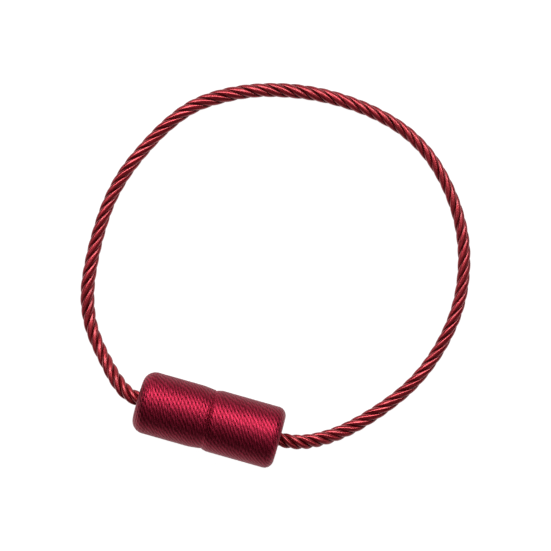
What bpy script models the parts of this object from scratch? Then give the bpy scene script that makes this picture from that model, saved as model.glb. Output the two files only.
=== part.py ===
"""Magnetic curtain tieback: a twisted four-strand rope whose ends run into two thread-wound
magnetic barrels. The barrels hold each other end to end and so close the rope into a loop.
The rope's ends meet the outer faces of the barrels, with the touch gap between them.

Metres, +Z up. The origin is on the surface that the tieback lies on, under the seam between
the barrels. +X runs along the barrels, from the left one to the right one, and +Y points
across the loop.
"""

import math

import bmesh
import bpy
from mathutils import Vector

MM = 0.001

# Gap between pieces that touch on the real object
TOUCH_GAP = 0.3 * MM

# Barrels: turned shape of the thread-wound bodies
BARREL_RADIUS = 11.0 * MM
BARREL_LENGTH = 25.5 * MM
BARREL_SIDES = 36
LEFT_SHOULDER = 4.5 * MM
RIGHT_SHOULDER = 3.2 * MM
SEAM_SHOULDER_LENGTH = 3.0 * MM
SEAM_SHOULDER_DEPTH = 1.3 * MM
OUTER_SHOULDER_STEPS = 5
SEAM_SHOULDER_STEPS = 4

# The windings are pressed flat over two sides of the barrel where it lies
FLAT_HALF_ANGLE = 2.0 * math.pi / BARREL_SIDES
AXIS_HEIGHT = BARREL_RADIUS * math.cos(FLAT_HALF_ANGLE)

# Rope: four strands laid with a right-handed twist
STRANDS = 4
LAY_PITCH = 19.0 * MM
RINGS_PER_TURN = 16
END_GIRTH = 5.2 * MM
END_LEAD = 3.5 * MM
SURFACE_CLEARANCE = 0.02 * MM

# Outline of the rope's section over one strand, from its ridge to just before the next one.
# Columns: part of the strand's angle, part of the rope's radius
STRAND_OUTLINE = (
    (0.00, 1.00),
    (0.25, 0.92),
    (0.50, 0.80),
    (0.75, 0.92),
)

# Route of the rope's centre from the left barrel round to the right one, in millimetres.
# Columns: x, y, lift of the rope's underside above the surface, thickness over the strands
ROUTE = (
    (-29.6, 0.7, 7.9, 5.3),
    (-32.9, 2.8, 7.0, 5.2),
    (-36.4, 5.5, 5.6, 5.1),
    (-39.9, 9.0, 3.8, 4.8),
    (-44.4, 13.6, 1.6, 4.7),
    (-49.7, 20.8, 0.2, 4.9),
    (-53.6, 30.8, 0.0, 5.1),
    (-55.2, 42.0, 0.0, 4.9),
    (-55.6, 53.3, 0.0, 4.7),
    (-54.9, 64.6, 0.0, 4.6),
    (-52.3, 75.5, 0.0, 4.8),
    (-47.9, 85.9, 0.0, 4.6),
    (-42.5, 95.8, 0.0, 4.7),
    (-35.5, 104.6, 0.0, 4.9),
    (-26.3, 111.0, 0.0, 5.2),
    (-16.2, 115.8, 0.0, 5.0),
    (-5.3, 118.9, 0.0, 5.2),
    (5.9, 120.6, 0.0, 5.1),
    (17.1, 120.8, 0.0, 4.9),
    (28.4, 119.5, 0.0, 4.6),
    (39.3, 116.4, 0.0, 4.5),
    (49.1, 110.9, 0.0, 4.4),
    (57.4, 103.3, 0.0, 4.3),
    (64.3, 94.4, 0.0, 4.4),
    (69.5, 84.4, 0.0, 4.6),
    (72.7, 73.4, 0.0, 4.6),
    (73.9, 62.2, 0.0, 4.6),
    (72.8, 51.0, 0.0, 4.5),
    (69.8, 40.0, 0.0, 4.5),
    (65.0, 29.7, 0.0, 4.6),
    (58.4, 20.5, 0.0, 4.8),
    (53.6, 15.0, 0.2, 5.0),
    (47.6, 9.2, 1.6, 5.1),
    (41.4, 4.8, 3.9, 5.2),
    (35.7, 1.9, 6.4, 5.3),
    (30.2, 0.3, 7.9, 5.3),
)

# Samples on each stretch of the route before it is spaced evenly, and passes that ease its bends
SAMPLES_PER_STRETCH = 40
EASING_PASSES = 8

ROPE_RED = (0.31, 0.009, 0.026)
BARREL_RED = (0.45, 0.026, 0.062)


def clear_scene():
    for old in list(bpy.data.objects):
        bpy.data.objects.remove(old, do_unlink=True)


def yarn_material(name, colour, roughness):
    material = bpy.data.materials.new(name)
    material.use_nodes = True
    shader = material.node_tree.nodes["Principled BSDF"]
    shader.inputs["Base Color"].default_value = (*colour, 1.0)
    shader.inputs["Roughness"].default_value = roughness
    shader.inputs["Metallic"].default_value = 0.0
    return material


def add_object(name, data, material):
    piece = bpy.data.objects.new(name, data)
    bpy.context.scene.collection.objects.link(piece)
    piece.data.materials.append(material)
    return piece


def quarter_round(start, length, depth, steps, towards_end):
    """Points on a quarter ellipse between a barrel's side and one of its ends.

    Each point is (distance along the barrel, radius); start is the distance of the end face.
    """
    points = []
    for step in range(steps + 1):
        angle = 0.5 * math.pi * step / steps
        along = length * (1.0 - math.sin(angle))
        radius = BARREL_RADIUS - depth * (1.0 - math.cos(angle))
        points.append((start - along if towards_end else start + along, radius))
    return points if towards_end else points[::-1]


def barrel_outline(outer_shoulder):
    """Half section of one barrel, from the middle of its mating face to that of its outer face."""
    mating_face = 0.5 * TOUCH_GAP
    outer_face = mating_face + BARREL_LENGTH
    outline = [(mating_face, 0.0)]
    outline += quarter_round(
        mating_face, SEAM_SHOULDER_LENGTH, SEAM_SHOULDER_DEPTH, SEAM_SHOULDER_STEPS, False
    )
    outline += quarter_round(
        outer_face, outer_shoulder, outer_shoulder, OUTER_SHOULDER_STEPS, True
    )
    outline.append((outer_face, 0.0))
    return outline


def barrel_mesh(name, outer_shoulder, side):
    """Turned barrel on the X axis; side is -1 for the left barrel and +1 for the right one."""
    shape = bmesh.new()
    profile = [
        shape.verts.new((side * along, 0.0, -radius))
        for along, radius in barrel_outline(outer_shoulder)
    ]
    edges = [shape.edges.new(pair) for pair in zip(profile, profile[1:])]
    bmesh.ops.spin(
        shape,
        geom=profile + edges,
        cent=(0.0, 0.0, 0.0),
        axis=(1.0, 0.0, 0.0),
        angle=2.0 * math.pi,
        steps=BARREL_SIDES,
        use_merge=True,
    )
    bmesh.ops.remove_doubles(shape, verts=shape.verts, dist=0.001 * MM)
    for vert in shape.verts:
        vert.co.z = max(vert.co.z, -AXIS_HEIGHT) + AXIS_HEIGHT
    bmesh.ops.recalc_face_normals(shape, faces=shape.faces)
    mesh = bpy.data.meshes.new(name)
    shape.to_mesh(mesh)
    shape.free()
    mesh.shade_smooth()
    mesh.set_sharp_from_angle(angle=math.radians(40.0))
    return mesh


def rope_stations():
    """Rows of (x, y, z, thickness) along the rope's centre, with its ends at the barrels."""
    mouth = 0.5 * TOUCH_GAP + BARREL_LENGTH + TOUCH_GAP
    stations = [Vector((-mouth, 0.0, AXIS_HEIGHT, END_GIRTH))]
    for x, y, lift, girth in ROUTE:
        height = lift + 0.5 * girth
        stations.append(Vector((x, y, height, girth)) * MM)
    stations.append(Vector((mouth, 0.0, AXIS_HEIGHT, END_GIRTH)))
    return stations


def smooth_curve(stations):
    """Fine samples of a smooth curve through the stations (centripetal Catmull-Rom).

    The rows before and after its ends lie on the barrels' axis, so it leaves along that axis.
    """
    before = stations[0] + Vector((END_LEAD, 0.0, 0.0, 0.0))
    after = stations[-1] - Vector((END_LEAD, 0.0, 0.0, 0.0))
    rows = [before, *stations, after]
    knots = [0.0]
    for here, there in zip(rows, rows[1:]):
        knots.append(knots[-1] + math.sqrt((there - here).length))
    samples = []
    for i in range(1, len(rows) - 2):
        p0, p1, p2, p3 = rows[i - 1:i + 3]
        t0, t1, t2, t3 = knots[i - 1:i + 3]
        for step in range(SAMPLES_PER_STRETCH):
            t = t1 + (t2 - t1) * step / SAMPLES_PER_STRETCH
            a1 = p0 * ((t1 - t) / (t1 - t0)) + p1 * ((t - t0) / (t1 - t0))
            a2 = p1 * ((t2 - t) / (t2 - t1)) + p2 * ((t - t1) / (t2 - t1))
            a3 = p2 * ((t3 - t) / (t3 - t2)) + p3 * ((t - t2) / (t3 - t2))
            b1 = a1 * ((t2 - t) / (t2 - t0)) + a2 * ((t - t0) / (t2 - t0))
            b2 = a2 * ((t3 - t) / (t3 - t1)) + a3 * ((t - t1) / (t3 - t1))
            samples.append(b1 * ((t2 - t) / (t2 - t1)) + b2 * ((t - t1) / (t2 - t1)))
    samples.append(rows[-2])
    return samples


def evenly_spaced(samples, spacing):
    """Rows read from the samples at even distances, close to the given spacing."""
    distances = [0.0]
    for here, there in zip(samples, samples[1:]):
        distances.append(distances[-1] + (there.xyz - here.xyz).length)
    total = distances[-1]
    count = round(total / spacing)
    rows = []
    stretch = 0
    for index in range(count + 1):
        distance = total * index / count
        while stretch < len(samples) - 2 and distances[stretch + 1] < distance:
            stretch += 1
        part = (distance - distances[stretch]) / (distances[stretch + 1] - distances[stretch])
        rows.append(samples[stretch].lerp(samples[stretch + 1], min(part, 1.0)))
    return rows


def relaxed(rows):
    """The same rows with their bends eased, as a limp rope's are, and no lower than it lies.

    Each end is eased as if the rope went on straight into its barrel, so it meets it squarely.
    """
    for _ in range(EASING_PASSES):
        before = rows[1].copy()
        before.x = 2.0 * rows[0].x - rows[1].x
        after = rows[-2].copy()
        after.x = 2.0 * rows[-1].x - rows[-2].x
        padded = [before, *rows, after]
        rows = [0.25 * (a + 2.0 * b + c) for a, b, c in zip(padded, padded[1:], padded[2:])]
    for row in rows:
        row.z = max(row.z, 0.5 * row.w + SURFACE_CLEARANCE)
    return rows


def strand_section():
    """Guide curve with the rope's four-lobed section, one metre across its ridges."""
    data = bpy.data.curves.new("rope_section", "CURVE")
    data.dimensions = "2D"
    outline = data.splines.new("POLY")
    outline.points.add(STRANDS * len(STRAND_OUTLINE) - 1)
    outline.use_cyclic_u = True
    index = 0
    for strand in range(STRANDS):
        for part, radius in STRAND_OUTLINE:
            angle = -2.0 * math.pi * (strand + part) / STRANDS
            point = (0.5 * radius * math.cos(angle), 0.5 * radius * math.sin(angle))
            outline.points[index].co = (*point, 0.0, 1.0)
            index += 1
    guide = bpy.data.objects.new("rope_section", data)
    guide.hide_render = True
    guide.display_type = "WIRE"
    bpy.context.scene.collection.objects.link(guide)
    return guide


def rope_curve(rows):
    """Rope as a curve swept with the lobed section, turned by the lay at each point."""
    data = bpy.data.curves.new("rope", "CURVE")
    data.dimensions = "3D"
    data.twist_mode = "Z_UP"
    data.bevel_mode = "OBJECT"
    data.bevel_object = strand_section()
    data.use_fill_caps = True
    spline = data.splines.new("POLY")
    spline.points.add(len(rows) - 1)
    for index, (point, row) in enumerate(zip(spline.points, rows)):
        point.co = (*row.xyz, 1.0)
        point.radius = row.w
        point.tilt = 2.0 * math.pi * index / RINGS_PER_TURN
    spline.use_smooth = True
    return data


def build_rope():
    rows = evenly_spaced(smooth_curve(rope_stations()), LAY_PITCH / RINGS_PER_TURN)
    add_object("rope", rope_curve(relaxed(rows)), yarn_material("rope_yarn", ROPE_RED, 0.55))


def build_barrels():
    thread = yarn_material("barrel_thread", BARREL_RED, 0.6)
    add_object("barrel_left", barrel_mesh("barrel_left", LEFT_SHOULDER, -1.0), thread)
    add_object("barrel_right", barrel_mesh("barrel_right", RIGHT_SHOULDER, 1.0), thread)


clear_scene()
build_barrels()
build_rope()
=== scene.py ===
"""Looks of a magnetic curtain tieback: a laid rope loop and the two thread-wound barrels that close it."""

import math

import bmesh
import bpy
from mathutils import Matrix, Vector


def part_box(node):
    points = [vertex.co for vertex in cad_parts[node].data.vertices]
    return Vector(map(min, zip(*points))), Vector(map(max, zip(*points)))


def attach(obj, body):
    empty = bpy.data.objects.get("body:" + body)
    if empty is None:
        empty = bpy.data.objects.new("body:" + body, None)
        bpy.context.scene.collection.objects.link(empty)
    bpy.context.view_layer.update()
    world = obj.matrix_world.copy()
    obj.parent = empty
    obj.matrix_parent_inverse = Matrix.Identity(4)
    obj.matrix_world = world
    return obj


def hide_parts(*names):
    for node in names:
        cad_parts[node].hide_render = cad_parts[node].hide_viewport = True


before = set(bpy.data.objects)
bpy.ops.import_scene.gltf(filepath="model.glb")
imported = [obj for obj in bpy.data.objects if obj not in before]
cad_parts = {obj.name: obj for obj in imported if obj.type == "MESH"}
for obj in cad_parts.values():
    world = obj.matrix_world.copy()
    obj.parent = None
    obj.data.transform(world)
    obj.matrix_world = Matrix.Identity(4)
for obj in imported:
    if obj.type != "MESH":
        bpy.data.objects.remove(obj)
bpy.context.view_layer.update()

bl_info = {
    "name": "Magnetic Curtain Tieback",
    "version": (1, 0, 0),
    "blender": (4, 5, 0),
    "location": "3D View > Sidebar > Tieback",
    "description": "Makes a rope tieback with two thread-wound magnetic barrels, and a plain studio for it",
    "category": "Object",
}

MM = 0.001
BODY = "root"

# The barrels lie along X, on either side of X = 0, and their mating faces almost touch there.
TOUCH_GAP = 0.3 * MM
BARREL_RADIUS = 11.0 * MM
BARREL_LENGTH = 25.5 * MM
AXIS_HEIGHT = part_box("barrel_left")[1].z - BARREL_RADIUS
SEAM_FACE = 0.01 * MM
SEAM_SHOULDER_DEPTH = 0.9 * MM
SEAM_SHOULDERS = {"barrel_left": 5.0 * MM, "barrel_right": 2.4 * MM}
# 1 makes a seam shoulder elliptical and 2 makes it a straight chamfer
SEAM_EASE = 1.6
OUTER_SHOULDERS = {"barrel_left": 4.5 * MM, "barrel_right": 3.2 * MM}
FACE_PAD_RADIUS = 8.6 * MM
# A low ring on the body fills the groove where the turns of the two barrels meet
SEAM_LIP_RADIUS = BARREL_RADIUS - SEAM_SHOULDER_DEPTH + 0.34 * MM
SEAM_LIP_WIDTH = 0.45 * MM
FACE_OPENING_RADIUS = 2.3 * MM
SEAM_STEPS = 8
OUTER_STEPS = 12
CORE_SIDES = 64
# The body lies this far below the thread's middle, and the thread's top this far above the CAD's surface
CORE_SINK = 0.12 * MM
THREAD_PROUD = 0.05 * MM
LIP_CLEARANCE = 0.1 * MM

# The rope lies as the CAD rope does. Columns: x, y, lift of its underside, thickness over the strands.
ROUTE_MM = (
    (-29.6, 0.7, 7.9, 5.3), (-32.9, 2.8, 7.0, 5.2), (-36.4, 5.5, 5.6, 5.1), (-39.9, 9.0, 3.8, 4.8),
    (-44.4, 13.6, 1.6, 4.7), (-49.7, 20.8, 0.2, 4.9), (-53.6, 30.8, 0.0, 5.1), (-55.2, 42.0, 0.0, 4.9),
    (-55.6, 53.3, 0.0, 4.7), (-54.9, 64.6, 0.0, 4.6), (-52.3, 75.5, 0.0, 4.8), (-47.9, 85.9, 0.0, 4.6),
    (-42.5, 95.8, 0.0, 4.7), (-35.5, 104.6, 0.0, 4.9), (-26.3, 111.0, 0.0, 5.2), (-16.2, 115.8, 0.0, 5.0),
    (-5.3, 118.9, 0.0, 5.2), (5.9, 120.6, 0.0, 5.1), (17.1, 120.8, 0.0, 4.9), (28.4, 119.5, 0.0, 4.6),
    (39.3, 116.4, 0.0, 4.5), (49.1, 110.9, 0.0, 4.4), (57.4, 103.3, 0.0, 4.3), (64.3, 94.4, 0.0, 4.4),
    (69.5, 84.4, 0.0, 4.6), (72.7, 73.4, 0.0, 4.6), (73.9, 62.2, 0.0, 4.6), (72.8, 51.0, 0.0, 4.5),
    (69.8, 40.0, 0.0, 4.5), (65.0, 29.7, 0.0, 4.6), (58.4, 20.5, 0.0, 4.8), (53.6, 15.0, 0.2, 5.0),
    (47.6, 9.2, 1.6, 5.1), (41.4, 4.8, 3.9, 5.2), (35.7, 1.9, 6.4, 5.3), (30.2, 0.3, 7.9, 5.3),
)
ROPE_MOUTH = 0.5 * TOUCH_GAP + BARREL_LENGTH + TOUCH_GAP
END_GIRTH = 5.2 * MM
END_LEAD = 3.5 * MM
END_TUCK = 1.2 * MM
ROW_SPACING = 19.0 / 16 * MM
SAMPLES_PER_STRETCH = 40
EASING_PASSES = 8
SURFACE_CLEARANCE = 0.02 * MM
# A strand's half depth and half width, over those of round strands that just touch
STRAND_DEPTH = 1.10
STRAND_WIDTH = 1.35
# The share of its wedge of the rope's section that a strand may fill
WEDGE_FILL = 0.985
# Near a barrel the strands are slimmer, so rounder, and are laid shorter, by this share of a turn in all
END_REACH = 45.0 * MM
END_SLIMMING = 0.26
LEFT_END_TURN = 0.12
RIGHT_END_TURN = 0.38

# Unevenness of the work: an amount, and its rate over a metre
LAY_DRIFT = 0.30
LAY_DRIFT_RATE = 90.0
YARN_SWELL = 0.75
YARN_SWELL_RATE = 160.0
THREAD_DRIFT = 0.34 * MM
THREAD_DRIFT_RATE = 330.0
PLY_DRIFT = 0.8
PLY_DRIFT_RATE = 60.0
# Shifts that give each strand and yarn its own stretch of noise
DRIFT_SHIFT = 5.3
SWELL_SHIFT = 9.1
YARN_SHIFT = 3.7
FIBRE_SHIFT = 61.0

# Mesh points round one yarn of a strand and round one ply of the thread
YARN_POINTS = 6.0
PLY_POINTS = 5.0
# Power of the thread's section: 1 makes it elliptical, and a smaller one makes it flatter
SECTION_POWER = 0.25
# Power of the furrows between plies: a larger one makes them narrower
FURROW_POWER = 1.2

# Crest values of the rope, which paint shade onto it: the yarns' furrows go no lower than the first, and the
# painted shade in the hollows between strands fades down to the second, from a share of the way out to the
# next strand
YARN_CREST = 0.75
HOLLOW_CREST = 0.3
HOLLOW_START = 0.5
# A strand's radius, roughly, over the rope's
STRAND_SHARE = 0.5
# A length along the yarn counts as this share of one across it in the fibre pattern, so the fibres are long
FIBRE_DRAW = 0.12
# Keeps rounding from moving the first point of a yarn into the yarn before it
YARN_GUARD = 0.01

# The finish has three patterns of noise: fine fibres, bundles of them, and patches of dye
FINE_SCALE = 7.0
BUNDLE_SCALE = 1.6
PATCH_SCALE = 120.0
# Noise keeps near its middle, so it is used from the first value to the second
NOISE_SPREAD = (0.30, 0.70)
FINE_SPREAD = (0.32, 0.68)
PATCH_SPREAD = (0.35, 0.65)
# Lowest share of the main colour that each pattern leaves
FINE_TONE = 0.55
BUNDLE_TONE = 0.5
PATCH_TONE = 0.85
# Crest value at which a furrow has its darkest painted shade
CREST_FLOOR = 0.35
# How far the roughness goes below and above its given value
SMOOTHER = 0.06
ROUGHER = 0.10
YARN_SPECULAR = 0.4
GLOSS_ROUGHNESS = 0.2
SHEEN_WEIGHT = 0.012
SHEEN_ROUGHNESS = 0.4
SHEEN_TINT = (1.0, 0.72, 0.76, 1.0)
# Shares of the fibres and of the bundles in the relief, and the strength of it
FINE_RELIEF = 0.6
BUNDLE_RELIEF = 0.4
RELIEF_STRENGTH = 0.6

# The picture was taken from straight above, with the barrels turned a little in the frame.
CAMERA_HEIGHT = 0.8
CAMERA_FOOT = (0.00877, 0.05486)
CAMERA_TURN = math.radians(15.8)
CAMERA_LENS = 147.3
SENSOR_WIDTH = 36.0

# Each lamp's name, its tilt from overhead towards the top of the picture, distance, width and depth
LAMPS = (("key", 36.0, 1.0, 1.8, 0.30), ("fill", -62.0, 1.0, 0.9, 0.35))
FLOOR_REACH = 8.0
FLOOR_ROUGHNESS = 0.9
WHITE = (1.0, 1.0, 1.0, 1.0)


class RopeSettings(bpy.types.PropertyGroup):
    """Sizes and colours of the rope."""

    strands: bpy.props.IntProperty(
        name="Strands", description="Strands laid into the rope", default=4, min=3, max=5)
    lay_pitch: bpy.props.FloatProperty(
        name="Lay Pitch", description="Length of one full turn of a strand",
        default=19.0 * MM, min=0.004, unit="LENGTH", precision=4)
    start_turn: bpy.props.FloatProperty(
        name="Start Turn", description="Share of a turn by which the lay is turned at the left barrel",
        default=0.0, min=-1.0, max=1.0)
    yarns: bpy.props.IntProperty(
        name="Yarns", description="Yarns that show round one strand", default=9, min=5, max=16)
    yarn_pitch: bpy.props.FloatProperty(
        name="Yarn Pitch", description="Length in which a yarn goes once round its strand",
        default=24.0 * MM, min=0.006, unit="LENGTH", precision=4)
    yarn_relief: bpy.props.FloatProperty(
        name="Yarn Relief", description="Depth of the furrow between two yarns",
        default=0.03 * MM, min=0.0, unit="LENGTH", precision=5)
    ring_spacing: bpy.props.FloatProperty(
        name="Ring Spacing", description="Distance between two rings of the mesh",
        default=0.80 * MM, min=0.0002, unit="LENGTH", precision=5)
    colour: bpy.props.FloatVectorProperty(
        name="Colour", description="Main colour of the yarn", subtype="COLOR", size=3, min=0.0, max=1.0,
        default=(0.48, 0.030, 0.044))
    # The shade colour is painted into furrows and hollows as shade, and darker fibres and dye lean towards
    # it
    shade: bpy.props.FloatVectorProperty(
        name="Shade", description="Darkest colour of the yarn", subtype="COLOR", size=3, min=0.0, max=1.0,
        default=(0.09, 0.003, 0.005))


class BarrelSettings(bpy.types.PropertyGroup):
    """Sizes and colours of the thread-wound barrels."""

    thread_pitch: bpy.props.FloatProperty(
        name="Thread Pitch", description="Distance between two turns of the thread",
        default=1.22 * MM, min=0.0004, unit="LENGTH", precision=5)
    segments: bpy.props.IntProperty(
        name="Segments", description="Segments in one turn of the thread", default=190, min=60, max=260)
    thread_width: bpy.props.FloatProperty(
        name="Thread Width", description="Width of the thread, whose turns press into each other",
        default=1.70 * MM, min=0.0002, unit="LENGTH", precision=5)
    thread_height: bpy.props.FloatProperty(
        name="Thread Height", description="Thickness of the thread, square to the barrel's surface",
        default=0.84 * MM, min=0.0002, unit="LENGTH", precision=5)
    plies: bpy.props.IntProperty(
        name="Plies", description="Plies twisted into the thread", default=3, min=2, max=4)
    crossings: bpy.props.FloatProperty(
        name="Crossings", description="Plies that cross over the thread in one turn round the barrel",
        default=34.21, min=4.0)
    furrow: bpy.props.FloatProperty(
        name="Furrow", description="Depth between two plies, as a share of the thread's half height",
        default=0.18, min=0.0, max=0.8)
    colour: bpy.props.FloatVectorProperty(
        name="Colour", description="Main colour of the thread", subtype="COLOR", size=3, min=0.0, max=1.0,
        default=(0.46, 0.025, 0.067))
    # The shade colour is painted into the furrows between plies as shade, and darker fibres and dye lean
    # towards it
    shade: bpy.props.FloatVectorProperty(
        name="Shade", description="Darkest colour of the thread", subtype="COLOR", size=3, min=0.0, max=1.0,
        default=(0.13, 0.006, 0.015))


class StageSettings(bpy.types.PropertyGroup):
    """The studio round the tieback."""

    floor_colour: bpy.props.FloatVectorProperty(
        name="Floor Colour", description="Colour of the floor without its glow", subtype="COLOR", size=3,
        min=0.0, max=1.0, default=(0.06, 0.06, 0.06))
    floor_glow: bpy.props.FloatProperty(
        name="Floor Glow", description="Light that the floor gives off itself, as a light table does",
        default=1.0, min=0.0)
    key_power: bpy.props.FloatProperty(
        name="Key Power", description="Power of the large light behind the loop", default=25.0,
        min=0.0, unit="POWER")
    fill_power: bpy.props.FloatProperty(
        name="Fill Power", description="Power of the weaker light in front of the barrels", default=0.1,
        min=0.0, unit="POWER")
    sky: bpy.props.FloatProperty(
        name="Sky", description="Strength of the even light from all round", default=0.02, min=0.0)


class Nodes:
    """Adds nodes to one tree and links them."""

    def __init__(self, tree):
        self.tree = tree

    def feed(self, socket, value):
        """Links an output to the socket, or sets a plain value on it."""
        if isinstance(value, bpy.types.NodeSocket):
            self.tree.links.new(value, socket)
        else:
            socket.default_value = value

    def add(self, kind, inputs=None, **settings):
        node = self.tree.nodes.new(kind)
        for name, value in settings.items():
            setattr(node, name, value)
        for key, value in (inputs or {}).items():
            self.feed(node.inputs[key], value)
        return node

    def maths(self, operation, *values):
        node = self.add("ShaderNodeMath", operation=operation)
        for socket, value in zip(node.inputs, values):
            self.feed(socket, value)
        return node.outputs[0]

    def vector(self, operation, *values):
        node = self.add("ShaderNodeVectorMath", operation=operation)
        for socket, value in zip(node.inputs, values):
            self.feed(socket, value)
        return node.outputs[0]

    def scaled(self, vector, factor):
        return self.add("ShaderNodeVectorMath", {0: vector, "Scale": factor}, operation="SCALE").outputs[0]

    def joined(self, x, y, z):
        return self.add("ShaderNodeCombineXYZ", {"X": x, "Y": y, "Z": z}).outputs[0]

    def split(self, vector):
        return self.add("ShaderNodeSeparateXYZ", {0: vector}).outputs

    def noise(self, vector, scale, detail=0.0):
        """Noise from 0 to 1, with its middle at 0.5."""
        inputs = {"Vector": vector, "Scale": scale, "Detail": detail}
        return self.add("ShaderNodeTexNoise", inputs, noise_dimensions="3D").outputs[0]

    def ranged(self, value, low, high, to_low, to_high):
        inputs = {"Value": value, "From Min": low, "From Max": high, "To Min": to_low, "To Max": to_high}
        return self.add("ShaderNodeMapRange", inputs).outputs[0]

    def blended(self, factor, first, second):
        """A colour between two colours."""
        node = self.add("ShaderNodeMix", data_type="RGBA")
        self.feed(node.inputs[0], factor)
        self.feed(node.inputs[6], first)
        self.feed(node.inputs[7], second)
        return node.outputs[2]

    def named(self, name, kind="FLOAT"):
        node = self.add("GeometryNodeInputNamedAttribute", {"Name": name}, data_type=kind)
        return node.outputs["Attribute"]

    def store(self, geometry, name, value, kind="FLOAT"):
        inputs = {"Geometry": geometry, "Name": name, "Value": value}
        node = self.add("GeometryNodeStoreNamedAttribute", inputs, data_type=kind, domain="POINT")
        return node.outputs["Geometry"]

    def without(self, geometry, names):
        for name in names:
            node = self.add("GeometryNodeRemoveAttribute", {"Geometry": geometry, "Name": name})
            geometry = node.outputs["Geometry"]
        return geometry


def new_group(name, inputs):
    """An empty Geometry Nodes tree with named inputs after its geometry."""
    group = bpy.data.node_groups.new(name, "GeometryNodeTree")
    group.interface.new_socket("Geometry", in_out="INPUT", socket_type="NodeSocketGeometry")
    group.interface.new_socket("Geometry", in_out="OUTPUT", socket_type="NodeSocketGeometry")
    for label, kind in inputs:
        group.interface.new_socket(label, in_out="INPUT", socket_type=kind)
    return group


def grown(host, group, values):
    """Turns the host into the plain mesh that the tree makes from it."""
    modifier = host.modifiers.new(group.name, "NODES")
    modifier.node_group = group
    for item in group.interface.items_tree:
        if item.in_out == "INPUT" and item.name in values:
            modifier[item.identifier] = values[item.name]
    depsgraph = bpy.context.evaluated_depsgraph_get()
    mesh = bpy.data.meshes.new_from_object(
        host.evaluated_get(depsgraph), preserve_all_data_layers=True, depsgraph=depsgraph)
    host.modifiers.remove(modifier)
    mesh.name = host.name
    host.data = mesh
    if not mesh.polygons:
        raise RuntimeError(f"{group.name} made no faces for {host.name}")
    work = bmesh.new()
    work.from_mesh(mesh)
    bmesh.ops.recalc_face_normals(work, faces=work.faces)
    work.to_mesh(mesh)
    work.free()
    return host


def new_object(name, mesh):
    item = bpy.data.objects.new(name, mesh)
    bpy.context.scene.collection.objects.link(item)
    return item


def line_object(name, points, girths=None):
    """An object that holds one open line of points."""
    mesh = bpy.data.meshes.new(name)
    edges = [(i, i + 1) for i in range(len(points) - 1)]
    mesh.from_pydata([tuple(p) for p in points], edges, [])
    if girths:
        attribute = mesh.attributes.new("girth", "FLOAT", "POINT")
        attribute.data.foreach_set("value", girths)
    return new_object(name, mesh)


def rope_stations():
    """Rows of x, y, z and thickness along the rope's centre, with its ends at the barrels."""
    stations = [Vector((-ROPE_MOUTH, 0.0, AXIS_HEIGHT, END_GIRTH))]
    for x, y, lift, girth in ROUTE_MM:
        height = lift + 0.5 * girth
        stations.append(Vector((x, y, height, girth)) * MM)
    stations.append(Vector((ROPE_MOUTH, 0.0, AXIS_HEIGHT, END_GIRTH)))
    return stations


def smooth_curve(stations):
    """Fine samples of a smooth curve through the stations (centripetal Catmull-Rom)."""
    before = stations[0] + Vector((END_LEAD, 0.0, 0.0, 0.0))
    after = stations[-1] - Vector((END_LEAD, 0.0, 0.0, 0.0))
    rows = [before, *stations, after]
    knots = [0.0]
    for here, there in zip(rows, rows[1:]):
        knots.append(knots[-1] + math.sqrt((there - here).length))
    samples = []
    for i in range(1, len(rows) - 2):
        p0, p1, p2, p3 = rows[i - 1:i + 3]
        t0, t1, t2, t3 = knots[i - 1:i + 3]
        for step in range(SAMPLES_PER_STRETCH):
            t = t1 + (t2 - t1) * step / SAMPLES_PER_STRETCH
            a1 = p0 * ((t1 - t) / (t1 - t0)) + p1 * ((t - t0) / (t1 - t0))
            a2 = p1 * ((t2 - t) / (t2 - t1)) + p2 * ((t - t1) / (t2 - t1))
            a3 = p2 * ((t3 - t) / (t3 - t2)) + p3 * ((t - t2) / (t3 - t2))
            b1 = a1 * ((t2 - t) / (t2 - t0)) + a2 * ((t - t0) / (t2 - t0))
            b2 = a2 * ((t3 - t) / (t3 - t1)) + a3 * ((t - t1) / (t3 - t1))
            samples.append(b1 * ((t2 - t) / (t2 - t1)) + b2 * ((t - t1) / (t2 - t1)))
    samples.append(rows[-2])
    return samples


def evenly_spaced(samples, spacing):
    """Rows at even distances along the samples, first and last kept."""
    lengths = [0.0]
    for here, there in zip(samples, samples[1:]):
        lengths.append(lengths[-1] + (there.xyz - here.xyz).length)
    count = round(lengths[-1] / spacing)
    rows = []
    at = 0
    for index in range(count + 1):
        goal = lengths[-1] * index / count
        while at < len(lengths) - 2 and lengths[at + 1] < goal:
            at += 1
        share = (goal - lengths[at]) / (lengths[at + 1] - lengths[at])
        rows.append(samples[at].lerp(samples[at + 1], min(1.0, share)))
    return rows


def relaxed(rows):
    """Evens out the bends, and keeps the ends square to the barrels and the rope on the surface."""
    for _ in range(EASING_PASSES):
        before = rows[1].copy()
        before.x = 2.0 * rows[0].x - rows[1].x
        after = rows[-2].copy()
        after.x = 2.0 * rows[-1].x - rows[-2].x
        padded = [before, *rows, after]
        rows = [0.25 * (a + 2.0 * b + c) for a, b, c in zip(padded, padded[1:], padded[2:])]
    for row in rows:
        row.z = max(row.z, 0.5 * row.w + SURFACE_CLEARANCE)
    return rows


def rope_rows():
    """The rope's centre rows, with one more row tucked inside each barrel."""
    rows = relaxed(evenly_spaced(smooth_curve(rope_stations()), ROW_SPACING))
    first = rows[0].copy()
    first.x += END_TUCK
    last = rows[-1].copy()
    last.x -= END_TUCK
    return [first, *rows, last]


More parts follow.
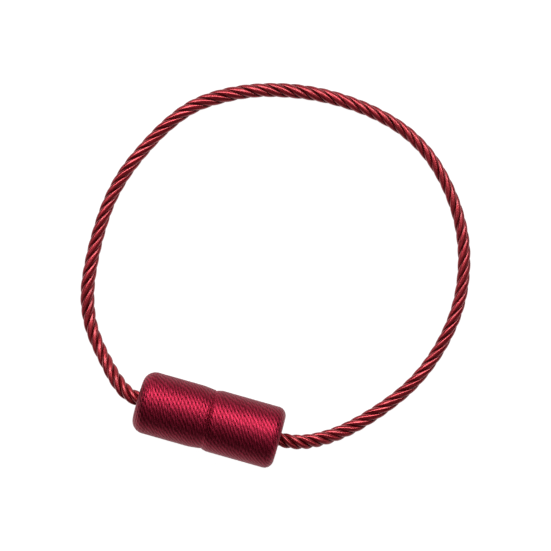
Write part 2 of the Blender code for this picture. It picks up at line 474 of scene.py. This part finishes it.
def laid_rope_group():
    """Tree that lays strands of yarn round a line whose points hold the rope's thickness."""
    group = new_group("Laid Rope", (
        ("Strands", "NodeSocketInt"), ("Lay Pitch", "NodeSocketFloat"), ("Start Turn", "NodeSocketFloat"),
        ("Yarns", "NodeSocketInt"), ("Yarn Pitch", "NodeSocketFloat"), ("Yarn Relief", "NodeSocketFloat"),
        ("Ring Spacing", "NodeSocketFloat"), ("Material", "NodeSocketMaterial")))
    n = Nodes(group)
    given = n.add("NodeGroupInput").outputs

    # The centre line, with its frame stored on each ring, and how near the ring is to a barrel
    line = n.add("GeometryNodeMeshToCurve", {"Mesh": given["Geometry"]}).outputs[0]
    line = n.add("GeometryNodeCurveSplineType", {"Curve": line}, spline_type="CATMULL_ROM").outputs[0]
    line = n.add("GeometryNodeResampleCurve", {"Curve": line, "Length": given["Ring Spacing"]},
                 mode="LENGTH").outputs[0]
    tangent = n.add("GeometryNodeInputTangent").outputs[0]
    side = n.vector("NORMALIZE", n.vector("CROSS_PRODUCT", tangent, (0.0, 0.0, 1.0)))
    from_left = n.add("GeometryNodeSplineParameter").outputs["Length"]
    from_right = n.maths("SUBTRACT", n.add("GeometryNodeSplineLength").outputs["Length"], from_left)
    near_left = n.ranged(from_left, 0.0, END_REACH, 1.0, 0.0)
    near_right = n.ranged(from_right, 0.0, END_REACH, 1.0, 0.0)
    left_turn = n.maths("MULTIPLY", n.maths("POWER", near_left, 2.0), -LEFT_END_TURN)
    right_turn = n.maths("MULTIPLY", n.maths("POWER", near_right, 2.0), RIGHT_END_TURN)
    line = n.store(line, "run", from_left)
    line = n.store(line, "near", n.maths("MAXIMUM", near_left, near_right))
    line = n.store(line, "end_turn", n.maths("ADD", left_turn, right_turn))
    line = n.store(line, "side", side, "FLOAT_VECTOR")
    line = n.store(line, "up", n.vector("CROSS_PRODUCT", side, tangent), "FLOAT_VECTOR")
    line = n.store(line, "centre", n.add("GeometryNodeInputPosition").outputs[0], "FLOAT_VECTOR")

    # One copy a strand, and one ring of points that knows how far round it is
    copies = n.add("GeometryNodeDuplicateElements", {"Geometry": line, "Amount": given["Strands"]},
                   domain="SPLINE")
    line = n.store(copies.outputs["Geometry"], "strand", copies.outputs["Duplicate Index"])
    sides = n.maths("MULTIPLY", given["Yarns"], YARN_POINTS)
    ring = n.add("GeometryNodeCurvePrimitiveCircle", {"Resolution": sides, "Radius": MM}).outputs[0]
    ring = n.store(ring, "round", n.maths("DIVIDE", n.add("GeometryNodeInputIndex").outputs[0], sides))
    inputs = {"Curve": line, "Profile Curve": ring, "Fill Caps": True}
    tube = n.add("GeometryNodeCurveToMesh", inputs).outputs[0]

    # Where each point goes in the rope's section
    run = n.named("run")
    strand = n.named("strand")
    radius = n.maths("MULTIPLY", n.named("girth"), 0.5)
    turn = n.maths("DIVIDE", run, given["Lay Pitch"])
    turn = n.maths("ADD", turn, n.maths("DIVIDE", strand, given["Strands"]))
    turn = n.maths("ADD", turn, n.named("end_turn"))
    lay = n.maths("MULTIPLY", n.maths("ADD", turn, given["Start Turn"]), math.tau)
    uneven = n.noise(n.joined(n.maths("MULTIPLY", run, LAY_DRIFT_RATE),
                              n.maths("MULTIPLY", strand, DRIFT_SHIFT), 0.0), 1.0, 1.0)
    lay = n.maths("ADD", lay, n.maths("MULTIPLY", n.maths("SUBTRACT", uneven, 0.5), LAY_DRIFT))
    part = n.named("round")
    own = n.maths("SUBTRACT", part, n.maths("DIVIDE", run, given["Yarn Pitch"]))
    own = n.maths("MULTIPLY", own, math.tau)
    yarn_place = n.maths("MULTIPLY", part, given["Yarns"])
    crest = n.maths("ABSOLUTE", n.maths("SINE", n.maths("MULTIPLY", yarn_place, math.pi)))
    yarn = n.maths("FLOOR", n.maths("ADD", yarn_place, YARN_GUARD))
    plump = n.noise(n.joined(n.maths("MULTIPLY", run, YARN_SWELL_RATE),
                             n.maths("MULTIPLY", yarn, YARN_SHIFT),
                             n.maths("MULTIPLY", strand, SWELL_SHIFT)), 1.0, 1.0)
    sunk = n.ranged(plump, *NOISE_SPREAD, 1.0, 1.0 + YARN_SWELL)
    depth = n.maths("SUBTRACT", 1.0, n.maths("DIVIDE", crest, sunk))
    depth = n.maths("MULTIPLY", depth, given["Yarn Relief"])
    wedge = n.maths("DIVIDE", math.pi, given["Strands"])
    wide = n.maths("SINE", wedge)
    round_half = n.maths("MULTIPLY", radius, n.maths("DIVIDE", wide, n.maths("ADD", wide, 1.0)))
    half_out = n.maths("MULTIPLY", round_half, STRAND_DEPTH)
    across = n.maths("SUBTRACT", half_out, depth)
    width = n.maths("SUBTRACT", STRAND_WIDTH, n.maths("MULTIPLY", n.named("near"), END_SLIMMING))
    around = n.maths("SUBTRACT", n.maths("MULTIPLY", round_half, width), depth)
    middle = n.maths("SUBTRACT", radius, half_out)
    out = n.maths("ADD", middle, n.maths("MULTIPLY", across, n.maths("COSINE", own)))
    along = n.maths("MULTIPLY", around, n.maths("SINE", own))
    limit = n.maths("MULTIPLY", out, n.maths("MULTIPLY", n.maths("TANGENT", wedge), WEDGE_FILL))
    along = n.maths("MAXIMUM", n.maths("MINIMUM", along, limit), n.maths("MULTIPLY", limit, -1.0))
    cosine = n.maths("COSINE", lay)
    sine = n.maths("SINE", lay)
    up_part = n.maths("SUBTRACT", n.maths("MULTIPLY", out, cosine), n.maths("MULTIPLY", along, sine))
    side_part = n.maths("ADD", n.maths("MULTIPLY", out, sine), n.maths("MULTIPLY", along, cosine))
    up = n.named("up", "FLOAT_VECTOR")
    side = n.named("side", "FLOAT_VECTOR")
    place = n.vector("ADD", n.scaled(up, up_part), n.scaled(side, side_part))
    place = n.vector("ADD", place, n.named("centre", "FLOAT_VECTOR"))
    x, y, z = n.split(place)
    place = n.joined(x, y, n.maths("MAXIMUM", z, 0.0))

    # The grain is the direction in which the strand runs there
    round_rope = n.vector("SUBTRACT", n.scaled(side, up_part), n.scaled(up, side_part))
    round_rope = n.scaled(round_rope, n.maths("DIVIDE", math.tau, given["Lay Pitch"]))
    grain = n.vector("NORMALIZE", n.vector("ADD", n.vector("CROSS_PRODUCT", up, side), round_rope))
    tube = n.store(tube, "grain", grain, "FLOAT_VECTOR")
    tube = n.add("GeometryNodeSetPosition", {"Geometry": tube, "Position": place}).outputs[0]

    # What the finish reads: a place across and along the yarn, and a crest value that is low in furrows and
    # hollows, where the finish paints shade
    mm_round = n.maths("MULTIPLY", radius, STRAND_SHARE / MM)
    mm_along = n.maths("MULTIPLY", run, FIBRE_DRAW / MM)
    fibre = n.joined(n.maths("MULTIPLY", mm_round, n.maths("COSINE", own)),
                     n.maths("MULTIPLY", mm_round, n.maths("SINE", own)),
                     n.maths("ADD", mm_along, n.maths("MULTIPLY", strand, FIBRE_SHIFT)))
    tube = n.store(tube, "fibre", fibre, "FLOAT_VECTOR")
    # Painted shade: the crest value fades down towards the hollows between strands, so the finish darkens
    # them
    hollow_shade = n.maths("DIVIDE", n.maths("ABSOLUTE", along), limit)
    hollow_shade = n.ranged(hollow_shade, HOLLOW_START, 1.0, 1.0, HOLLOW_CREST)
    tube = n.store(tube, "crest", n.maths("MULTIPLY", n.maths("MAXIMUM", crest, YARN_CREST), hollow_shade))
    tube = n.without(tube, ("run", "near", "end_turn", "side", "up", "centre", "strand", "round", "girth"))
    tube = n.add("GeometryNodeSetShadeSmooth", {"Geometry": tube}).outputs[0]
    tube = n.add("GeometryNodeRealizeInstances", {"Geometry": tube}).outputs[0]
    tube = n.add("GeometryNodeSetMaterial", {"Geometry": tube, "Material": given["Material"]}).outputs[0]
    n.add("NodeGroupOutput", {"Geometry": tube})
    return group


def wound_thread_group():
    """Tree that winds a plied thread along a line of distance and radius, round the barrel's axis."""
    group = new_group("Wound Thread", (
        ("Path", "NodeSocketObject"), ("Outward", "NodeSocketFloat"), ("Axis Height", "NodeSocketFloat"),
        ("Thread Pitch", "NodeSocketFloat"), ("Segments", "NodeSocketInt"),
        ("Thread Width", "NodeSocketFloat"), ("Thread Height", "NodeSocketFloat"),
        ("Plies", "NodeSocketInt"), ("Ply Pitch", "NodeSocketFloat"), ("Furrow", "NodeSocketFloat"),
        ("Seed", "NodeSocketFloat"), ("Material", "NodeSocketMaterial")))
    n = Nodes(group)
    given = n.add("NodeGroupInput").outputs

    # The path is in the XY plane: x along the axis, y out from it
    path = n.add("GeometryNodeObjectInfo", {"Object": given["Path"]}).outputs["Geometry"]
    path = n.add("GeometryNodeMeshToCurve", {"Mesh": path}).outputs[0]
    length = n.add("GeometryNodeCurveLength", {"Curve": path}).outputs[0]
    turns = n.maths("DIVIDE", length, given["Thread Pitch"])
    count = n.maths("ROUND", n.maths("MULTIPLY", turns, given["Segments"]))
    line = n.add("GeometryNodeMeshLine", {"Count": count, "Offset": (MM, 0.0, 0.0)}).outputs[0]
    line = n.add("GeometryNodeMeshToCurve", {"Mesh": line}).outputs[0]
    share = n.maths("DIVIDE", n.add("GeometryNodeInputIndex").outputs[0], n.maths("SUBTRACT", count, 1.0))
    spot = n.add("GeometryNodeSampleCurve", {"Curves": path, "Factor": share}, mode="FACTOR",
                 use_all_curves=True, data_type="FLOAT").outputs
    distance, out, _ = n.split(spot["Position"])
    step_along, step_out, _ = n.split(spot["Tangent"])
    angle = n.maths("MULTIPLY", n.maths("MULTIPLY", turns, share), math.tau)
    cosine = n.maths("COSINE", angle)
    sine = n.maths("SINE", angle)
    along = n.joined(step_along, n.maths("MULTIPLY", step_out, cosine), n.maths("MULTIPLY", step_out, sine))
    lean = n.maths("MULTIPLY", n.maths("MULTIPLY", step_out, -1.0), given["Outward"])
    rise = n.maths("MULTIPLY", step_along, given["Outward"])
    normal = n.joined(lean, n.maths("MULTIPLY", rise, cosine), n.maths("MULTIPLY", rise, sine))
    centre = n.joined(distance, n.maths("MULTIPLY", out, cosine),
                      n.maths("ADD", n.maths("MULTIPLY", out, sine), given["Axis Height"]))
    line = n.store(line, "along", along, "FLOAT_VECTOR")
    line = n.store(line, "normal", normal, "FLOAT_VECTOR")
    line = n.add("GeometryNodeSetPosition", {"Geometry": line, "Position": centre}).outputs[0]
    line = n.store(line, "run", n.add("GeometryNodeSplineParameter").outputs["Length"])
    line = n.store(line, "ahead", n.add("GeometryNodeInputTangent").outputs[0], "FLOAT_VECTOR")
    drift = n.noise(n.vector("ADD", centre, n.joined(given["Seed"], 0.0, 0.0)), THREAD_DRIFT_RATE, 1.0)
    push = n.maths("MULTIPLY", n.maths("SUBTRACT", drift, 0.5), THREAD_DRIFT)
    line = n.store(line, "centre", n.vector("ADD", centre, n.scaled(along, push)), "FLOAT_VECTOR")

    # A ring of points that turns with the plies, pressed flat and furrowed between them
    sides = n.maths("MULTIPLY", given["Plies"], PLY_POINTS)
    ring = n.add("GeometryNodeCurvePrimitiveCircle", {"Resolution": sides, "Radius": MM}).outputs[0]
    ring = n.store(ring, "round", n.maths("DIVIDE", n.add("GeometryNodeInputIndex").outputs[0], sides))
    inputs = {"Curve": line, "Profile Curve": ring, "Fill Caps": True}
    tube = n.add("GeometryNodeCurveToMesh", inputs).outputs[0]
    run = n.named("run")
    part = n.named("round")
    slow = n.noise(n.joined(n.maths("MULTIPLY", run, PLY_DRIFT_RATE), given["Seed"], 0.0), 1.0)
    wander = n.maths("MULTIPLY", n.maths("SUBTRACT", slow, 0.5), PLY_DRIFT)
    turn = n.maths("MULTIPLY", n.maths("DIVIDE", run, given["Ply Pitch"]), given["Outward"])
    own = n.maths("MULTIPLY", part, math.tau)
    twist = n.maths("MULTIPLY", n.maths("SUBTRACT", n.maths("ADD", part, wander), turn), math.tau)
    ply_place = n.maths("MULTIPLY", part, given["Plies"])
    crest = n.maths("ABSOLUTE", n.maths("SINE", n.maths("MULTIPLY", ply_place, math.pi)))
    sunk = n.maths("POWER", n.maths("SUBTRACT", 1.0, crest), FURROW_POWER)
    sunk = n.maths("MULTIPLY", sunk, given["Furrow"])
    full = n.maths("SUBTRACT", 1.0, sunk)
    half_wide = n.maths("MULTIPLY", n.maths("MULTIPLY", given["Thread Width"], 0.5), full)
    half_high = n.maths("MULTIPLY", n.maths("MULTIPLY", given["Thread Height"], 0.5), full)
    along = n.named("along", "FLOAT_VECTOR")
    normal = n.named("normal", "FLOAT_VECTOR")
    cosine = n.maths("COSINE", twist)
    sine = n.maths("SINE", twist)
    pressed = n.maths("POWER", n.maths("ABSOLUTE", sine), SECTION_POWER)
    pressed = n.maths("MULTIPLY", pressed, n.maths("SIGN", sine))
    place = n.vector("ADD", n.scaled(along, n.maths("MULTIPLY", half_wide, cosine)),
                     n.scaled(normal, n.maths("MULTIPLY", half_high, pressed)))
    place = n.vector("ADD", place, n.named("centre", "FLOAT_VECTOR"))
    x, y, z = n.split(place)
    place = n.joined(x, y, n.maths("MAXIMUM", z, 0.0))

    # The grain is the direction in which the ply runs there
    round_thread = n.vector("SUBTRACT", n.scaled(normal, n.maths("MULTIPLY", half_high, cosine)),
                            n.scaled(along, n.maths("MULTIPLY", half_wide, sine)))
    rate = n.maths("DIVIDE", n.maths("MULTIPLY", given["Outward"], -math.tau), given["Ply Pitch"])
    grain = n.vector("ADD", n.named("ahead", "FLOAT_VECTOR"), n.scaled(round_thread, rate))
    tube = n.store(tube, "grain", n.vector("NORMALIZE", grain), "FLOAT_VECTOR")
    tube = n.add("GeometryNodeSetPosition", {"Geometry": tube, "Position": place}).outputs[0]
    mm_along = n.maths("MULTIPLY", run, FIBRE_DRAW / MM)
    fibre = n.joined(n.maths("COSINE", own), n.maths("SINE", own), mm_along)
    tube = n.store(tube, "fibre", fibre, "FLOAT_VECTOR")
    # The crest value is low in the furrows between plies, where the finish paints shade
    tube = n.store(tube, "crest", crest)
    tube = n.without(tube, ("run", "along", "normal", "ahead", "centre", "round"))

    # Only the thread has a grain, so the body that it is joined with keeps its own material
    both = n.add("GeometryNodeJoinGeometry")
    n.feed(both.inputs[0], given["Geometry"])
    n.feed(both.inputs[0], tube)
    whole = n.add("GeometryNodeSetShadeSmooth", {"Geometry": both.outputs[0]}).outputs[0]
    grain = n.named("grain", "FLOAT_VECTOR")
    threaded = n.add("ShaderNodeVectorMath", {0: grain}, operation="LENGTH").outputs["Value"]
    whole = n.add("GeometryNodeRealizeInstances", {"Geometry": whole}).outputs[0]
    inputs = {"Geometry": whole, "Selection": threaded, "Material": given["Material"]}
    whole = n.add("GeometryNodeSetMaterial", inputs).outputs[0]
    n.add("NodeGroupOutput", {"Geometry": whole})
    return group


def barrel_outline(node, side, inset):
    """Points of distance and radius from the mating face's edge to the rope, an inset below the surface."""
    seam_shoulder = SEAM_SHOULDERS[node]
    outer_shoulder = OUTER_SHOULDERS[node]
    face = SEAM_FACE + inset
    end = 0.5 * TOUCH_GAP + BARREL_LENGTH - inset
    points = [(face, FACE_PAD_RADIUS)]
    middle = Vector((SEAM_FACE + seam_shoulder, BARREL_RADIUS - SEAM_SHOULDER_DEPTH))
    for step in range(SEAM_STEPS + 1):
        turn = 0.5 * math.pi * step / SEAM_STEPS
        points.append((middle.x - (seam_shoulder - inset) * abs(math.cos(turn)) ** SEAM_EASE,
                       middle.y + (SEAM_SHOULDER_DEPTH - inset) * math.sin(turn) ** SEAM_EASE))
    centre = Vector((0.5 * TOUCH_GAP + BARREL_LENGTH - outer_shoulder, BARREL_RADIUS - outer_shoulder))
    for step in range(OUTER_STEPS + 1):
        turn = 0.5 * math.pi * step / OUTER_STEPS
        points.append((centre.x + (outer_shoulder - inset) * math.sin(turn),
                       centre.y + (outer_shoulder - inset) * math.cos(turn)))
    points.append((end, FACE_OPENING_RADIUS))
    return [(side * distance, radius) for distance, radius in points]


def turned_body(name, outline):
    """A closed body turned from an outline that starts and ends on the barrel's axis."""
    work = bmesh.new()
    rings = []
    for distance, radius in outline[1:-1]:
        ring = []
        for index in range(CORE_SIDES):
            angle = math.tau * index / CORE_SIDES
            height = max(0.0, AXIS_HEIGHT + radius * math.sin(angle))
            ring.append(work.verts.new((distance, radius * math.cos(angle), height)))
        rings.append(ring)
    for near, far in zip(rings, rings[1:]):
        for index in range(CORE_SIDES):
            after = (index + 1) % CORE_SIDES
            work.faces.new((near[index], near[after], far[after], far[index]))
    for ring, (distance, _) in ((rings[0], outline[0]), (rings[-1], outline[-1])):
        tip = work.verts.new((distance, 0.0, AXIS_HEIGHT))
        for index in range(CORE_SIDES):
            work.faces.new((ring[index], ring[(index + 1) % CORE_SIDES], tip))
    bmesh.ops.recalc_face_normals(work, faces=work.faces)
    mesh = bpy.data.meshes.new(name)
    work.to_mesh(mesh)
    work.free()
    return new_object(name, mesh)


def satin_material(name, colour, shade, roughness, stretch, lustre, gloss, shaded_furrow_tone, fine_depth):
    """Satin yarn: shine drawn out along its fibres, uneven dye, painted shade where the crest value is low,
    in furrows and hollows, and fine fibre relief.
    """
    material = bpy.data.materials.new(name)
    material.use_nodes = True
    n = Nodes(material.node_tree)
    shader = material.node_tree.nodes["Principled BSDF"]
    fibre = n.add("ShaderNodeAttribute", attribute_name="fibre").outputs["Vector"]
    crest = n.add("ShaderNodeAttribute", attribute_name="crest").outputs["Fac"]
    place = n.add("ShaderNodeTexCoord").outputs["Object"]
    fine = n.noise(fibre, FINE_SCALE, 3.0)
    bundles = n.noise(fibre, BUNDLE_SCALE, 1.0)
    patches = n.noise(place, PATCH_SCALE, 2.0)
    mix = n.ranged(fine, *FINE_SPREAD, FINE_TONE, 1.0)
    mix = n.maths("MULTIPLY", mix, n.ranged(bundles, *NOISE_SPREAD, BUNDLE_TONE, 1.0))
    # Painted shade: where the crest value is low, in furrows and hollows, the colour goes towards the shade
    # colour
    mix = n.maths("MULTIPLY", mix, n.ranged(crest, CREST_FLOOR, 1.0, shaded_furrow_tone, 1.0))
    mix = n.maths("MULTIPLY", mix, n.ranged(patches, *PATCH_SPREAD, PATCH_TONE, 1.0))
    n.feed(shader.inputs["Base Color"], n.blended(mix, (*shade, 1.0), (*colour, 1.0)))
    rough = n.ranged(fine, *NOISE_SPREAD, roughness - SMOOTHER, roughness + ROUGHER)
    n.feed(shader.inputs["Roughness"], rough)
    shader.inputs["Metallic"].default_value = lustre
    shader.inputs["Anisotropic"].default_value = stretch
    if stretch:
        grain = n.add("ShaderNodeAttribute", attribute_name="grain").outputs["Vector"]
        n.feed(shader.inputs["Tangent"], grain)
    shader.inputs["Specular IOR Level"].default_value = YARN_SPECULAR
    shader.inputs["Coat Weight"].default_value = gloss
    shader.inputs["Coat Roughness"].default_value = GLOSS_ROUGHNESS
    shader.inputs["Sheen Weight"].default_value = SHEEN_WEIGHT
    shader.inputs["Sheen Roughness"].default_value = SHEEN_ROUGHNESS
    shader.inputs["Sheen Tint"].default_value = SHEEN_TINT
    fine_part = n.maths("MULTIPLY", fine, FINE_RELIEF)
    relief = n.maths("ADD", fine_part, n.maths("MULTIPLY", bundles, BUNDLE_RELIEF))
    inputs = {"Height": relief, "Strength": RELIEF_STRENGTH, "Distance": fine_depth}
    bump = n.add("ShaderNodeBump", inputs)
    n.feed(shader.inputs["Normal"], bump.outputs[0])
    return material


class TIEBACK_OT_rope(bpy.types.Operator):
    """Make the laid rope that goes round in a loop from barrel to barrel"""

    bl_idname = "tieback.rope"
    bl_label = "Make Rope"

    def execute(self, context):
        settings = context.scene.tieback_rope
        rows = rope_rows()
        rope = line_object("laid_rope", [row.xyz for row in rows], [row.w for row in rows])
        # The rope's furrows and hollows take the full painted shade
        finish = satin_material("rope_yarn", settings.colour, settings.shade, roughness=0.31, stretch=0.88,
                                lustre=0.68, gloss=0.2, shaded_furrow_tone=0.0, fine_depth=0.02 * MM)
        grown(rope, laid_rope_group(), {
            "Strands": settings.strands, "Lay Pitch": settings.lay_pitch, "Start Turn": settings.start_turn,
            "Yarns": settings.yarns, "Yarn Pitch": settings.yarn_pitch, "Yarn Relief": settings.yarn_relief,
            "Ring Spacing": settings.ring_spacing, "Material": finish})
        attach(rope, BODY)
        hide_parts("rope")
        return {"FINISHED"}


class TIEBACK_OT_barrels(bpy.types.Operator):
    """Wind thread over both magnetic barrels"""

    bl_idname = "tieback.barrels"
    bl_label = "Wind Barrels"

    def execute(self, context):
        settings = context.scene.tieback_barrels
        # The thread's furrows take the full painted shade, and the body has none
        finish = satin_material("barrel_thread", settings.colour, settings.shade, roughness=0.42,
                                stretch=0.7, lustre=1.0, gloss=0.0, shaded_furrow_tone=0.0, fine_depth=0.05 * MM)
        under = satin_material("barrel_core", settings.colour, settings.shade, roughness=0.5, stretch=0.0,
                               lustre=1.0, gloss=0.0, shaded_furrow_tone=1.0, fine_depth=0.05 * MM)
        group = wound_thread_group()
        inset = 0.5 * settings.thread_height - THREAD_PROUD
        turn_length = math.hypot(math.tau * (BARREL_RADIUS - inset), settings.thread_pitch)
        # The left barrel is wound the other way, so it takes the mirrored part of a crossing
        whole = round(settings.crossings)
        for seed, (node, side) in enumerate((("barrel_left", -1.0), ("barrel_right", 1.0))):
            crossings = settings.crossings if side > 0.0 else 2.0 * whole + 1.0 - settings.crossings
            under_line = barrel_outline(node, side, inset + CORE_SINK)
            face = side * SEAM_FACE
            lip_end = face + side * SEAM_LIP_WIDTH
            lip = [(face, 0.0), (face, FACE_PAD_RADIUS), (face, SEAM_LIP_RADIUS), (lip_end, SEAM_LIP_RADIUS)]
            body_start = abs(lip_end) + LIP_CLEARANCE
            under_line = [point for point in under_line if abs(point[0]) > body_start]
            body_line = [*lip, *under_line, (under_line[-1][0], 0.0)]
            barrel = turned_body(node.replace("barrel", "wound_barrel"), body_line)
            barrel.data.materials.append(under)
            thread_line = barrel_outline(node, side, inset)
            path = line_object("thread_path", [(x, y, 0.0) for x, y in thread_line])
            grown(barrel, group, {
                "Path": path, "Outward": side, "Axis Height": AXIS_HEIGHT,
                "Thread Pitch": settings.thread_pitch, "Segments": settings.segments,
                "Thread Width": settings.thread_width, "Thread Height": settings.thread_height,
                "Plies": settings.plies, "Ply Pitch": settings.plies * turn_length / crossings,
                "Furrow": settings.furrow, "Seed": float(seed), "Material": finish})
            bpy.data.objects.remove(path)
            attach(barrel, BODY)
            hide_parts(node)
        return {"FINISHED"}


class TIEBACK_OT_stage(bpy.types.Operator):
    """Set a plain white floor that glows, soft studio light and the camera"""

    bl_idname = "tieback.stage"
    bl_label = "Set Stage"

    def execute(self, context):
        settings = context.scene.tieback_stage
        scene = context.scene
        mesh = bpy.data.meshes.new("floor")
        corners = [(x * FLOOR_REACH, y * FLOOR_REACH, 0.0) for x, y in ((-1, -1), (1, -1), (1, 1), (-1, 1))]
        mesh.from_pydata(corners, [], [(0, 1, 2, 3)])
        floor = new_object("floor", mesh)
        paper = bpy.data.materials.new("floor_paper")
        paper.use_nodes = True
        shader = paper.node_tree.nodes["Principled BSDF"]
        shader.inputs["Base Color"].default_value = (*settings.floor_colour, 1.0)
        shader.inputs["Roughness"].default_value = FLOOR_ROUGHNESS
        shader.inputs["Emission Color"].default_value = WHITE
        shader.inputs["Emission Strength"].default_value = settings.floor_glow
        mesh.materials.append(paper)

        world = bpy.data.worlds.new("studio")
        world.use_nodes = True
        sky = world.node_tree.nodes["Background"]
        sky.inputs["Color"].default_value = WHITE
        sky.inputs["Strength"].default_value = settings.sky
        scene.world = world

        # Directions in the picture, as they lie on the floor
        upwards = Vector((-math.sin(CAMERA_TURN), math.cos(CAMERA_TURN), 0.0))
        foot = Vector((*CAMERA_FOOT, 0.0))
        powers = {"key": settings.key_power, "fill": settings.fill_power}
        for name, tilt, distance, width, depth in LAMPS:
            lamp = bpy.data.lights.new(name, "AREA")
            lamp.shape = "RECTANGLE"
            lamp.size = width
            lamp.size_y = depth
            lamp.energy = powers[name]
            holder = new_object(name, lamp)
            angle = math.radians(tilt)
            away = upwards * math.sin(angle) + Vector((0.0, 0.0, math.cos(angle)))
            holder.location = foot + away * distance
            holder.rotation_euler = away.to_track_quat("Z", "Y").to_euler()

        lens = bpy.data.cameras.new("camera")
        lens.sensor_width = SENSOR_WIDTH
        lens.lens = CAMERA_LENS
        camera = new_object("camera", lens)
        camera.location = (*CAMERA_FOOT, CAMERA_HEIGHT)
        camera.rotation_euler = (0.0, 0.0, CAMERA_TURN)
        scene.camera = camera
        scene.view_settings.view_transform = "Standard"
        return {"FINISHED"}


class TIEBACK_PT_panel(bpy.types.Panel):
    """Sidebar panel that lists the tieback's settings and steps"""

    bl_idname = "TIEBACK_PT_panel"
    bl_label = "Curtain Tieback"
    bl_space_type = "VIEW_3D"
    bl_region_type = "UI"
    bl_category = "Tieback"

    def draw(self, context):
        layout = self.layout
        for settings, operator in ((context.scene.tieback_rope, "tieback.rope"),
                                   (context.scene.tieback_barrels, "tieback.barrels"),
                                   (context.scene.tieback_stage, "tieback.stage")):
            box = layout.box()
            for name in settings.__annotations__:
                box.prop(settings, name)
            box.operator(operator)


CLASSES = (
    RopeSettings, BarrelSettings, StageSettings,
    TIEBACK_OT_rope, TIEBACK_OT_barrels, TIEBACK_OT_stage, TIEBACK_PT_panel,
)


def register():
    for item in CLASSES:
        bpy.utils.register_class(item)
    bpy.types.Scene.tieback_rope = bpy.props.PointerProperty(type=RopeSettings)
    bpy.types.Scene.tieback_barrels = bpy.props.PointerProperty(type=BarrelSettings)
    bpy.types.Scene.tieback_stage = bpy.props.PointerProperty(type=StageSettings)


def unregister():
    del bpy.types.Scene.tieback_stage
    del bpy.types.Scene.tieback_barrels
    del bpy.types.Scene.tieback_rope
    for item in reversed(CLASSES):
        bpy.utils.unregister_class(item)


def main():
    register()
    bpy.ops.tieback.stage()
    bpy.ops.tieback.rope()
    bpy.ops.tieback.barrels()


if __name__ == "__main__":
    main()
